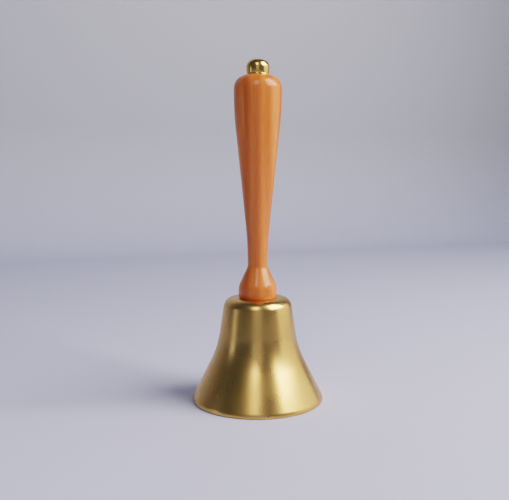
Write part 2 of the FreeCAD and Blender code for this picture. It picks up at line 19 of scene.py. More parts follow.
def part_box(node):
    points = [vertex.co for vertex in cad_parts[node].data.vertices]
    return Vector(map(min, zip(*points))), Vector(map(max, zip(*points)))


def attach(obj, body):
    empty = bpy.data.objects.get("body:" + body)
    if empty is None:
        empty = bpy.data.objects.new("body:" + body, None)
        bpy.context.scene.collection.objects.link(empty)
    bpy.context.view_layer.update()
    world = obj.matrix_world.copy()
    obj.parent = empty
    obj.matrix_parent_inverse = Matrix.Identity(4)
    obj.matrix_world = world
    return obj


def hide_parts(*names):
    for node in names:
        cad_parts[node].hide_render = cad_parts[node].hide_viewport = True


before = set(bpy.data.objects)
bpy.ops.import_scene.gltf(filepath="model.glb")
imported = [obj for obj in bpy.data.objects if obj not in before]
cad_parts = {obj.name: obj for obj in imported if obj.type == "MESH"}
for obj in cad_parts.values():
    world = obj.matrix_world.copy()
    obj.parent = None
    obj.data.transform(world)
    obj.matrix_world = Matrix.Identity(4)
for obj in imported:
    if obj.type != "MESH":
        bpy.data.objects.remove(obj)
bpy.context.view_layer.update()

MM = 0.001
AXIS = Vector((0.0, 0.0, 1.0))
SHARP_ANGLE = math.radians(32.0)
ARC_STEP = math.radians(7.5)
MERGE_DISTANCE = 1e-7
BISECTIONS = 60
ANGLE_MARGIN = 1e-6
VIEW_EXPOSURE = -0.5
log = logging.getLogger("hand_bell")

Point = tuple[float, float]
Place = tuple[float, float, float]


# ---------------------------------------------------------------------------------------------
# Colour, nodes and finishes
# ---------------------------------------------------------------------------------------------

def linear(colour: str) -> tuple[float, float, float, float]:
    """Turn an sRGB hex colour into linear light.

    Args:
        colour: Six hex digits, with or without a leading hash.

    Returns:
        Red, green, blue and an alpha of one.
    """
    digits = colour.lstrip("#")
    channels = [int(digits[i:i + 2], 16) / 255.0 for i in (0, 2, 4)]
    light = [c / 12.92 if c <= 0.04045 else ((c + 0.055) / 1.055) ** 2.4 for c in channels]
    return (light[0], light[1], light[2], 1.0)


def add(tree: bpy.types.NodeTree, kind: str, inputs: dict | None = None, **settings) -> bpy.types.Node:
    """Add a shader node, set it up and link it.

    Args:
        tree: The node tree that the node joins.
        kind: The node's type, such as ShaderNodeTexNoise.
        inputs: Input name or number to a value, or to the socket that feeds it.
        settings: Properties of the node itself.

    Returns:
        The new node.
    """
    node = tree.nodes.new(kind)
    for name, value in settings.items():
        setattr(node, name, value)
    for name, value in (inputs or {}).items():
        if isinstance(value, bpy.types.NodeSocket):
            tree.links.new(value, node.inputs[name])
        else:
            node.inputs[name].default_value = value
    return node


def ramp(tree: bpy.types.NodeTree, factor: bpy.types.NodeSocket,
         stops: dict[float, str]) -> bpy.types.NodeSocket:
    """Colour a factor.

    Args:
        tree: The material's node tree.
        factor: The socket that is looked up.
        stops: Position to hex colour, at least two of them.

    Returns:
        The colour socket.
    """
    node = add(tree, "ShaderNodeValToRGB", {"Fac": factor})
    elements = node.color_ramp.elements
    while len(elements) < len(stops):
        elements.new(0.5)
    for element, (position, colour) in zip(elements, sorted(stops.items())):
        element.position = position
        element.color = linear(colour)
    return node.outputs["Color"]


def graph(tree: bpy.types.NodeTree, factor: bpy.types.NodeSocket, low: float, high: float,
          start: float = 0.0, stop: float = 1.0) -> bpy.types.NodeSocket:
    """Map a factor from one range on to another, and hold it at the ends.

    Args:
        tree: The material's node tree.
        factor: The socket that is mapped.
        low: What the start turns into.
        high: What the stop turns into.
        start: Where the factor's range begins.
        stop: Where it ends.

    Returns:
        The mapped socket.
    """
    node = add(tree, "ShaderNodeMapRange", {"Value": factor, "From Min": start, "From Max": stop,
                                            "To Min": low, "To Max": high})
    return node.outputs["Result"]


def scaled_place(tree: bpy.types.NodeTree, pitch: Place) -> bpy.types.NodeSocket:
    """Measure the place on the object in a pattern's own pitches.

    Args:
        tree: The material's node tree.
        pitch: The pattern's size along each axis, in millimetres.

    Returns:
        The vector socket.
    """
    place = add(tree, "ShaderNodeTexCoord")
    scale = tuple(1.0 / (size * MM) for size in pitch)
    mapping = add(tree, "ShaderNodeMapping", {"Vector": place.outputs["Object"], "Scale": scale})
    return mapping.outputs["Vector"]


def turning_distance(tree: bpy.types.NodeTree, pitch: float) -> bpy.types.NodeSocket:
    """Count lathe marks: the count grows outwards and down a turned surface.

    Args:
        tree: The material's node tree.
        pitch: Distance from one mark to the next, in millimetres.

    Returns:
        The distance socket, in pitches.
    """
    vector = scaled_place(tree, (pitch, pitch, pitch))
    parts = add(tree, "ShaderNodeSeparateXYZ", {"Vector": vector})
    flat = add(tree, "ShaderNodeCombineXYZ", {"X": parts.outputs["X"], "Y": parts.outputs["Y"]})
    radius = add(tree, "ShaderNodeVectorMath", {0: flat.outputs["Vector"]}, operation="LENGTH")
    across = add(tree, "ShaderNodeMath", {0: radius.outputs["Value"], 1: parts.outputs["Z"]},
                 operation="SUBTRACT")
    return across.outputs["Value"]


def new_material(name: str) -> tuple[bpy.types.Material, bpy.types.NodeTree, bpy.types.Node]:
    """Start a node material.

    Args:
        name: The material's name.

    Returns:
        The material, its tree and its Principled shader.
    """
    material = bpy.data.materials.new(name)
    material.use_nodes = True
    tree = material.node_tree
    return material, tree, tree.nodes["Principled BSDF"]


@dataclass(frozen=True)
class TurnedMetal:
    """Solid metal finished on a lathe: rings from the tool or the buff, and a thin uneven tone.

    The rings blur a reflection along the turned outline, and the toning browns the low light.
    """

    name: str
    bright: str
    toned: str
    roughness: tuple[float, float]
    ring_pitch: float = 0.5
    ring_depth: float = 0.0004
    tone_patch: float = 18.0
    scuff_pitch: float = 1.2
    scuff_depth: float = 0.0006
    uneven_pitch: float = 13.0
    uneven_depth: float = 0.03
    tone_start: float = 0.3
    tone_stop: float = 0.7

    def build(self) -> bpy.types.Material:
        """Make the material.

        Returns:
            The new material.
        """
        material, tree, shader = new_material(self.name)
        patches = add(tree, "ShaderNodeTexNoise", {
            "Vector": scaled_place(tree, (self.tone_patch,) * 3), "Scale": 1.0, "Detail": 2.0,
            "Roughness": 0.4})
        rings = add(tree, "ShaderNodeTexNoise", {
            "W": turning_distance(tree, self.ring_pitch), "Scale": 1.0, "Detail": 3.0},
            noise_dimensions="1D")
        scuffs = add(tree, "ShaderNodeTexNoise", {
            "Vector": scaled_place(tree, (self.scuff_pitch,) * 3), "Scale": 1.0, "Detail": 5.0})
        tone = ramp(tree, patches.outputs["Fac"],
                    {self.tone_start: self.toned, self.tone_stop: self.bright})
        tree.links.new(tone, shader.inputs["Base Color"])
        shader.inputs["Metallic"].default_value = 1.0
        rough = graph(tree, patches.outputs["Fac"], *self.roughness, start=self.tone_start,
                      stop=self.tone_stop)
        tree.links.new(rough, shader.inputs["Roughness"])
        swells = add(tree, "ShaderNodeTexNoise", {
            "Vector": scaled_place(tree, (self.uneven_pitch,) * 3), "Scale": 1.0, "Detail": 1.0})
        uneven = add(tree, "ShaderNodeBump", {
            "Height": swells.outputs["Fac"], "Distance": self.uneven_depth * MM, "Strength": 1.0})
        scuffed = add(tree, "ShaderNodeBump", {
            "Height": scuffs.outputs["Fac"], "Distance": self.scuff_depth * MM, "Strength": 1.0,
            "Normal": uneven.outputs["Normal"]})
        turned = add(tree, "ShaderNodeBump", {
            "Height": rings.outputs["Fac"], "Distance": self.ring_depth * MM, "Strength": 1.0,
            "Normal": scuffed.outputs["Normal"]})
        tree.links.new(turned.outputs["Normal"], shader.inputs["Normal"])
        return material


@dataclass(frozen=True)
class VarnishedHardwood:
    """Close-grained hardwood, stained orange-brown, sanded on the lathe and gloss varnished.

    The grain runs up the handle as faint darker streaks with short pores, under a clear coat that
    carries the sharp highlights.
    """

    name: str
    pale: str
    middle: str
    dark: str
    growth: Place = (3.4, 3.4, 60.0)
    growth_scale: float = 0.16
    growth_bend: float = 2.6
    streak: Place = (0.7, 0.7, 34.0)
    streak_share: float = 0.62
    streak_depth: float = 0.012
    pore: Place = (0.22, 0.22, 3.2)
    pore_edge: Point = (0.62, 0.75)
    pore_strength: float = 0.3
    dark_stop: float = 0.22
    middle_stop: float = 0.5
    pale_stop: float = 0.78
    wood_roughness: float = 0.42
    wood_shine: float = 0.2
    coat_weight: float = 0.7
    coat_roughness: float = 0.18
    coat_ior: float = 1.5

    def build(self) -> bpy.types.Material:
        """Make the material.

        Returns:
            The new material.
        """
        material, tree, shader = new_material(self.name)
        growth = add(tree, "ShaderNodeTexWave", {
            "Vector": scaled_place(tree, self.growth), "Scale": self.growth_scale,
            "Distortion": self.growth_bend, "Detail": 2.0, "Detail Scale": 0.6},
            wave_type="BANDS", bands_direction="X")
        streaks = add(tree, "ShaderNodeTexNoise", {
            "Vector": scaled_place(tree, self.streak), "Scale": 1.0, "Detail": 4.0,
            "Roughness": 0.55, "Distortion": 0.2})
        pores = add(tree, "ShaderNodeTexNoise", {
            "Vector": scaled_place(tree, self.pore), "Scale": 1.0, "Detail": 1.0})
        grain = add(tree, "ShaderNodeMix", {
            "Factor": self.streak_share, "A": growth.outputs["Fac"], "B": streaks.outputs["Fac"]},
            data_type="FLOAT")
        colour = ramp(tree, grain.outputs["Result"],
                      {self.dark_stop: self.dark, self.middle_stop: self.middle,
                       self.pale_stop: self.pale})
        specks = graph(tree, pores.outputs["Fac"], 0.0, self.pore_strength, *self.pore_edge)
        flecked = add(tree, "ShaderNodeMix", {"Factor": specks, "A": colour, "B": linear(self.dark)},
                      data_type="RGBA")
        tree.links.new(flecked.outputs["Result"], shader.inputs["Base Color"])
        shader.inputs["Roughness"].default_value = self.wood_roughness
        shader.inputs["Specular IOR Level"].default_value = self.wood_shine
        shader.inputs["Coat Weight"].default_value = self.coat_weight
        shader.inputs["Coat Roughness"].default_value = self.coat_roughness
        shader.inputs["Coat IOR"].default_value = self.coat_ior
        raised = add(tree, "ShaderNodeBump", {
            "Height": streaks.outputs["Fac"], "Distance": self.streak_depth * MM,
            "Strength": 1.0})
        tree.links.new(raised.outputs["Normal"], shader.inputs["Normal"])
        return material


@dataclass(frozen=True)
class StagePaper:
    """Matt seamless paper, pale and cool where it lies flat, with painted shade that turns it greyer
    where it rises as the wall.
    """

    name: str
    floor: str
    wall: str
    rise: Point
    roughness: float = 0.75
    shine: float = 0.3
    fibre_pitch: float = 40.0
    fibre_depth: float = 0.01

    def build(self) -> bpy.types.Material:
        """Make the material.

        Returns:
            The new material.
        """
        material, tree, shader = new_material(self.name)
        fibres = add(tree, "ShaderNodeTexNoise", {
            "Vector": scaled_place(tree, (self.fibre_pitch,) * 3), "Scale": 1.0, "Detail": 2.0})
        bump = add(tree, "ShaderNodeBump", {
            "Height": fibres.outputs["Fac"], "Distance": self.fibre_depth * MM})
        place = add(tree, "ShaderNodeTexCoord")
        parts = add(tree, "ShaderNodeSeparateXYZ", {"Vector": place.outputs["Object"]})
        # Painted shade: the paper's colour greys from the floor's tone to the wall's as it rises up
        # the cove.
        wall_shade = graph(tree, parts.outputs["Z"], 0.0, 1.0, *self.rise)
        tone = ramp(tree, wall_shade, {0.0: self.floor, 1.0: self.wall})
        tree.links.new(tone, shader.inputs["Base Color"])
        shader.inputs["Roughness"].default_value = self.roughness
        shader.inputs["Specular IOR Level"].default_value = self.shine
        tree.links.new(bump.outputs["Normal"], shader.inputs["Normal"])
        return material


@dataclass(frozen=True)
class LitMuslin:
    """Even pale cloth with a light behind it: it shows one flat tone and no reflection."""

    name: str
    colour: str
    strength: float

    def build(self) -> bpy.types.Material:
        """Make the material.

        Returns:
            The new material.
        """
        material, _, shader = new_material(self.name)
        shader.inputs["Base Color"].default_value = (0.0, 0.0, 0.0, 1.0)
        shader.inputs["Specular IOR Level"].default_value = 0.0
        shader.inputs["Emission Color"].default_value = linear(self.colour)
        shader.inputs["Emission Strength"].default_value = self.strength
        return material


class Finish(Enum):
    """The finishes on the bell."""

    # A soft gold sheen, stretched up and down the bell by fine buffing.
    SATIN_BRASS = TurnedMetal("satin_cast_brass", bright="E7BD7C", toned="D4AE6E",
                              roughness=(0.34, 0.25))
    # The dull brown inside, with tool marks that break the light into rings.
    BORED_BRASS = TurnedMetal("rough_bored_brass", bright="B08C55", toned="866A3E",
                              roughness=(0.5, 0.36), ring_pitch=0.8, ring_depth=0.012)
    # The cap and its washer: brighter and sharper than the bell below.
    POLISHED_BRASS = TurnedMetal("buffed_brass", bright="F6CC86", toned="EABB70",
                                 roughness=(0.24, 0.18), ring_pitch=0.25, ring_depth=0.0008,
                                 tone_patch=7.0, scuff_pitch=0.5, scuff_depth=0.0006)
    # Brass straight off the lathe, with faint rings, on the ball and swivel nut.
    TURNED_BRASS = TurnedMetal("plain_turned_brass", bright="DCB470", toned="C49A58",
                               roughness=(0.3, 0.2), ring_pitch=0.3, ring_depth=0.003,
                               tone_patch=8.0, scuff_pitch=0.6)
    # The cool blue-white of plating against the brass.
    ZINC_STEEL = TurnedMetal("bright_zinc_on_steel", bright="C9CCCE", toned="AEB4B8",
                             roughness=(0.34, 0.22), ring_pitch=0.4, tone_patch=4.0,
                             scuff_pitch=0.5)
    # A dark ring between two pale ones.
    SPRING_STEEL = TurnedMetal("blackened_spring_steel", bright="4A4C50", toned="35363A",
                               roughness=(0.42, 0.3), ring_pitch=0.4, tone_patch=3.0,
                               scuff_pitch=0.4)
    # Grey drawn wire, brighter than the washers' shade.
    STEEL_WIRE = TurnedMetal("drawn_steel_wire", bright="B7B9BC", toned="969A9E",
                             roughness=(0.3, 0.2), ring_pitch=0.6, tone_patch=5.0,
                             scuff_pitch=0.3)
    # Warm orange under a clear gloss that carries the sharp highlights.
    VARNISHED_WOOD = VarnishedHardwood("varnished_hardwood", pale="E2854A", middle="D6783D",
                                       dark="C76B35")

    @cached_property
    def material(self) -> bpy.types.Material:
        """The finish's material, made the first time that it is asked for."""
        return self.value.build()


# ---------------------------------------------------------------------------------------------
# Shaping
# ---------------------------------------------------------------------------------------------

class Outline:
    """Half of a turned section, in millimetres across from the axis and up it."""

    def __init__(self, start: Point, run: float = 1.2) -> None:
        """Begin at a point.

        Args:
            start: Distance from the axis and height.
            run: Longest step along a curve.
        """
        self.points: list[Point] = [start]
        self.run = run

    def line(self, end: Point) -> None:
        """Draw straight to a point."""
        self.points.append(end)

    def arc(self, end: Point, centre: Point) -> None:
        """Draw the shorter way round a centre to a point.

        Args:
            end: Where the arc ends.
            centre: What it goes round.
        """
        start = self.points[-1]
        first = math.atan2(start[1] - centre[1], start[0] - centre[0])
        last = math.atan2(end[1] - centre[1], end[0] - centre[0])
        sweep = (last - first + math.pi) % math.tau - math.pi
        radius = math.dist(start, centre)
        count = max(math.ceil(abs(sweep) / ARC_STEP), math.ceil(radius * abs(sweep) / self.run))
        for i in range(1, count):
            angle = first + sweep * i / count
            self.points.append((centre[0] + radius * math.cos(angle),
                                centre[1] + radius * math.sin(angle)))
        self.points.append(end)

    def spin(self, steps: int = 160, closed: bool = True) -> bmesh.types.BMesh:
        """Turn the outline about the axis.

        Args:
            steps: Faces round the axis.
            closed: Whether the outline's end joins its start.

        Returns:
            A bmesh with its doubles merged and its faces outwards.
        """
        shape = bmesh.new()
        points = [shape.verts.new((across * MM, 0.0, up * MM)) for across, up in self.points]
        pairs = list(zip(points, points[1:]))
        if closed:
            pairs.append((points[-1], points[0]))
        edges = [shape.edges.new(pair) for pair in pairs]
        bmesh.ops.spin(shape, geom=points + edges, cent=(0.0, 0.0, 0.0), axis=AXIS,
                       angle=math.tau, steps=steps, use_merge=True, use_duplicate=False)
        bmesh.ops.remove_doubles(shape, verts=shape.verts, dist=MERGE_DISTANCE)
        bmesh.ops.recalc_face_normals(shape, faces=shape.faces)
        return shape


def soften(shape: bmesh.types.BMesh, width: float, segments: int = 3) -> None:
    """Round every sharp edge a little.

    Args:
        shape: The mesh.
        width: How far each bevel reaches, in millimetres.
        segments: Faces across a bevel.
    """
    sharp = [edge for edge in shape.edges
             if len(edge.link_faces) == 2 and edge.calc_face_angle(0.0) > SHARP_ANGLE]
    bmesh.ops.bevel(shape, geom=sharp, offset=width * MM, affect="EDGES", segments=segments,
                    profile=0.5, material=-1, clamp_overlap=True)
    bmesh.ops.remove_doubles(shape, verts=shape.verts, dist=MERGE_DISTANCE)


def shade(shape: bmesh.types.BMesh) -> None:
    """Shade smoothly, apart from edges that are still sharp.

    Args:
        shape: The mesh.
    """
    for face in shape.faces:
        face.smooth = True
    for edge in shape.edges:
        edge.smooth = not (len(edge.link_faces) == 2 and edge.calc_face_angle(0.0) > SHARP_ANGLE)


def to_object(name: str, shape: bmesh.types.BMesh) -> bpy.types.Object:
    """Put a bmesh into the scene.

    Args:
        name: Name for the mesh and the object.
        shape: The mesh, in place. It is freed.

    Returns:
        The new object.
    """
    mesh = bpy.data.meshes.new(name)
    shape.to_mesh(mesh)
    shape.free()
    made = bpy.data.objects.new(name, mesh)
    bpy.context.scene.collection.objects.link(made)
    return made


def close_in(low: float, high: float, short: Callable[[float], bool]) -> float:
    """Halve a range until it closes in on where a test turns false.

    Args:
        low: Where the test is true.
        high: Where it is false.
        short: The test.

    Returns:
        The value that was tried last.
    """
    for _ in range(BISECTIONS):
        middle = (low + high) / 2
        low, high = (middle, high) if short(middle) else (low, middle)
    return middle


def add_piece(name: str, shape: bmesh.types.BMesh, body: str, node: str, slot: str,
              *finishes: Finish) -> bpy.types.Object:
    """Turn a bmesh into a piece of the bell.

    Args:
        name: The piece's name.
        shape: The mesh, in place. It is freed.
        body: The body that the piece rides on.
        node: The CAD node that it stands for.
        slot: Not used.
        finishes: The finishes in the order of the faces' material numbers.

    Returns:
        The new object.
    """
    shade(shape)
    piece = to_object(name, shape)
    for finish in finishes:
        piece.data.materials.append(finish.material)
    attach(piece, body)
    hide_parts(node)
    log.info("%s: %d faces on %s", name, len(piece.data.polygons), body)
    return piece


def span(node: str) -> tuple[Vector, Vector]:
    """Lowest and highest corner of a CAD node, in millimetres."""
    low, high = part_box(node)
    return Vector(low) / MM, Vector(high) / MM


# ---------------------------------------------------------------------------------------------
# The bell
# ---------------------------------------------------------------------------------------------

@dataclass
class BellShell:
    """The cast bell: flat crown, round shoulder, straight waist, a flare and a straight skirt."""

    wall: float = 2.2
    crown_thickness: float = 3.0
    crown_radius: float = 19.4
    shoulder: float = 6.0
    waist_angle: float = 8.6
    waist_length: float = 21.0
    skirt_height: float = 22.5
    skirt_sine: float = 0.44
    lip_curve: float = 5.0
    lip_edge: float = 0.6
    rod_hole: float = 2.8
    softened: float = 0.2
    steps: int = 192

    def build(self) -> bpy.types.Object:
        """Turn the wall in one piece and give the bore its duller finish.

        Returns:
            The new object.
        """
        corner = span("bell_shell")[1]
        mouth, height = corner.x, corner.z
        lean = math.radians(self.waist_angle)
        outer_waist = (self.crown_radius + math.tan(lean) * self.waist_length,
                       height - self.waist_length)
        inner_waist = (outer_waist[0] - self.wall * math.cos(lean),
                       outer_waist[1] - self.wall * math.sin(lean))
        outer = self.face(mouth, self.lip_curve, self.skirt_height, outer_waist, self.shoulder,
                          height)
        inner = self.face(mouth - self.wall, self.lip_curve - self.wall,
                          self.skirt_height - self.skirt_sine * self.wall, inner_waist,
                          self.shoulder - self.wall, height - self.crown_thickness)
        outline = Outline((mouth - self.lip_edge, 0.0))
        outline.arc((mouth, self.lip_edge), (mouth - self.lip_edge, self.lip_edge))
        outline.arc(outer["skirt_foot"], outer["lip"])
        outline.line(outer["skirt_top"])
        outline.arc(outer_waist, outer["flare"])
        outline.line(outer["shoulder_foot"])
        outline.arc(outer["crown_edge"], outer["shoulder"])
        outline.line((self.rod_hole, height))
        outline.line((self.rod_hole, height - self.crown_thickness))
        outline.line(inner["crown_edge"])
        outline.arc(inner["shoulder_foot"], inner["shoulder"])
        outline.line(inner_waist)
        outline.arc(inner["skirt_top"], inner["flare"])
        outline.line(inner["skirt_foot"])
        outline.arc((mouth - self.wall, self.lip_edge), inner["lip"])
        outline.line((mouth - self.wall, 0.0))
        shape = outline.spin(steps=self.steps)
        soften(shape, self.softened)
        self.mark_bore(shape)
        return add_piece("bell", shape, "root", "bell_shell", "satin_brass",
                         Finish.SATIN_BRASS, Finish.BORED_BRASS)

    def face(self, lip_radius: float, curve: float, skirt_level: float, waist: Point,
             shoulder: float, height: float) -> dict[str, Point]:
        """Joints and centres of one face of the wall.

        Args:
            lip_radius: Radius of the face at the lip.
            curve: Radius of the lip's rounding.
            skirt_level: Top of the straight skirt.
            waist: Where the flare meets the straight waist.
            shoulder: Radius of the shoulder.
            height: Level of the crown.

        Returns:
            Name to point across from the axis and up it.
        """
        lean = math.radians(self.waist_angle)
        out = (math.cos(lean), math.sin(lean))
        lip = (lip_radius - curve, self.lip_edge)

        def flared(slope: float) -> tuple[float, Point]:
            """Radius of the flare, and the skirt's top, for a slope of the skirt."""
            flare = (waist[1] - skirt_level) / (math.sin(slope) - out[1])
            return flare, (waist[0] + flare * (out[0] - math.cos(slope)), skirt_level)

        def short(slope: float) -> bool:
            """Whether a skirt with this slope would cut into the lip's rounding."""
            top = flared(slope)[1]
            return ((top[0] - lip[0]) * math.cos(slope)
                    + (top[1] - lip[1]) * math.sin(slope) - curve) < 0

        slope = close_in(lean + ANGLE_MARGIN, math.pi / 2 - ANGLE_MARGIN, short)
        flare, skirt_top = flared(slope)
        level = height - shoulder
        across = waist[0] - (shoulder + out[1] * (level - waist[1])) / out[0]
        return {"lip": lip, "skirt_top": skirt_top,
                "skirt_foot": (lip[0] + curve * math.cos(slope), lip[1] + curve * math.sin(slope)),
                "flare": (waist[0] + flare * out[0], waist[1] + flare * out[1]),
                "shoulder": (across, level), "crown_edge": (across, height),
                "shoulder_foot": (across + shoulder * out[0], level + shoulder * out[1])}

    def mark_bore(self, shape: bmesh.types.BMesh) -> None:
        """Give the faces that look inwards, and the crown's underside, the second finish.

        Args:
            shape: The whole wall.
        """
        for face in shape.faces:
            middle = face.calc_center_median()
            inward = Vector((middle.x, middle.y, 0.0)).normalized().dot(face.normal) < -0.05
            ceiling = face.normal.z < -0.9 and middle.z > self.wall * MM
            face.material_index = 1 if inward or ceiling else 0


@dataclass
class Handle:
    """Turned handle: a knob at the foot, a thin neck, a long swelling grip and a rounded head."""

    foot_radius: float = 10.9
    knob_radius: float = 11.35
    knob_height: float = 4.0
    knob_curve: float = 4.8
    neck_radius: float = 5.85
    neck_height: float = 19.4
    neck_lower_curve: float = 2.2
    neck_upper_curve: float = 24.0
    head_height: float = 119.5
    head_curve: float = 21.0
    head_round: float = 7.9
    spot_face: float = 0.3
    spot_face_margin: float = 0.2
    rod_hole: float = 2.8
    softened: float = 0.2
    steps: int = 160

    def build(self) -> bpy.types.Object:
        """Turn the handle with its rod hole.

        Returns:
            The new object.
        """
        low, high = span("wooden_handle")
        washer = span("cap_washer")[1].x
        foot_level, top = low.z, high.z
        foot = (self.foot_radius, foot_level)
        knob = (self.knob_radius, foot_level + self.knob_height)
        neck = (self.neck_radius, foot_level + self.neck_height)
        head = (high.x, foot_level + self.head_height)
        rise, swell = knob[1] - foot[1], knob[0] - foot[0]
        foot_curve = (rise ** 2 + swell ** 2) / (2 * swell)
        seat = top - self.spot_face
        outline = Outline(foot)
        outline.arc(knob, (knob[0] - foot_curve, knob[1]))
        self.bend(outline, knob, neck, self.knob_curve, self.neck_lower_curve)
        self.bend(outline, neck, head, self.neck_upper_curve, self.head_curve)
        outline.line((head[0], top - self.head_round))
        round_centre = (head[0] - self.head_round, top - self.head_round)
        recess = washer + self.spot_face_margin
        rim = top - self.head_round + math.sqrt(self.head_round ** 2 - (recess - round_centre[0]) ** 2)
        outline.arc((recess, rim), round_centre)
        outline.line((recess, seat))
        outline.line((self.rod_hole, seat))
        outline.line((self.rod_hole, foot_level))
        shape = outline.spin(steps=self.steps)
        soften(shape, self.softened)
        return add_piece("handle", shape, "root", "wooden_handle", "varnished_wood",
                         Finish.VARNISHED_WOOD)

    def bend(self, outline: Outline, start: Point, end: Point, start_run: float,
             end_run: float) -> None:
        """Draw an S bend between two upright tangents, two arcs with a straight between.

        Args:
            outline: The outline, which stands at the start.
            start: Where the bend begins.
            end: Where it ends.
            start_run: Height that the first arc takes.
            end_run: Height that the last arc takes.
        """
        shift = abs(end[0] - start[0])
        side = math.copysign(1.0, end[0] - start[0])
        straight = end[1] - start[1] - start_run - end_run

        def short(lean: float) -> bool:
            """Whether the bend would end before it has shifted far enough."""
            return ((start_run + end_run) * math.tan(lean / 2) + straight * math.tan(lean)) < shift

        lean = close_in(0.0, math.pi / 2, short)
        first = (start[0] + side * start_run * math.tan(lean / 2), start[1] + start_run)
        last = (end[0] - side * end_run * math.tan(lean / 2), end[1] - end_run)
        outline.arc(first, (start[0] + side * start_run / math.sin(lean), start[1]))
        outline.line(last)
        outline.arc(end, (end[0] - side * end_run / math.sin(lean), end[1]))


@dataclass
class Cap:
    """The domed nut that closes the handle, and the thin washer under it."""

    draft: float = 1.5
    edge_curve: float = 4.2
    crown_curve: float = 12.0
    bore_radius: float = 2.55
    bore_depth: float = 5.0
    washer_bore: float = 2.8
    softened: float = 0.18
    steps: int = 128

    def build(self) -> None:
        """Build both pieces."""
        self.build_nut()
        self.build_washer()

    def build_nut(self) -> bpy.types.Object:
        """Turn the nut about its blind thread.

        Returns:
            The new object.
        """
        low, high = span("cap_nut")
        radius, base, top = high.x, low.z, high.z
        lean = math.radians(self.draft)
        crown = (0.0, top - self.crown_curve)
        reach = self.crown_curve - self.edge_curve
        depth = base - crown[1]
        offset = radius * math.cos(lean) - self.edge_curve + depth * math.sin(lean)
        swing = math.asin(offset / reach) + lean
        edge = (reach * math.sin(swing), crown[1] + reach * math.cos(swing))
        outline = Outline((self.bore_radius, base), run=0.3)
        outline.line((radius, base))
        outline.line((edge[0] + self.edge_curve * math.cos(lean),
                      edge[1] + self.edge_curve * math.sin(lean)))
        outline.arc((self.crown_curve * math.sin(swing),
                     crown[1] + self.crown_curve * math.cos(swing)), edge)
        outline.arc((0.0, top), crown)
        floor = base + self.bore_depth
        outline.line((0.0, floor))
        outline.line((self.bore_radius, floor))
        shape = outline.spin(steps=self.steps)
        soften(shape, self.softened)
        return add_piece("cap", shape, "root", "cap_nut", "polished_brass",
                         Finish.POLISHED_BRASS)

    def build_washer(self) -> bpy.types.Object:
        """Turn the washer.

        Returns:
            The new object.
        """
        low, high = span("cap_washer")
        shape = ring((self.washer_bore, high.x), (low.z, high.z), steps=self.steps)
        soften(shape, self.softened)
        return add_piece("washer_under_cap", shape, "root", "cap_washer", "polished_brass",
                         Finish.POLISHED_BRASS)


def ring(radii: Point, levels: Point, steps: int) -> bmesh.types.BMesh:
    """Turn a plain ring.

    Args:
        radii: Radius of the hole and of the outside, in millimetres.
        levels: Lower and upper face.
        steps: Faces round the axis.

    Returns:
        A closed bmesh.
    """
    outline = Outline((radii[0], levels[0]))
    outline.line((radii[1], levels[0]))
    outline.line((radii[1], levels[1]))
    outline.line((radii[0], levels[1]))
    return outline.spin(steps=steps)


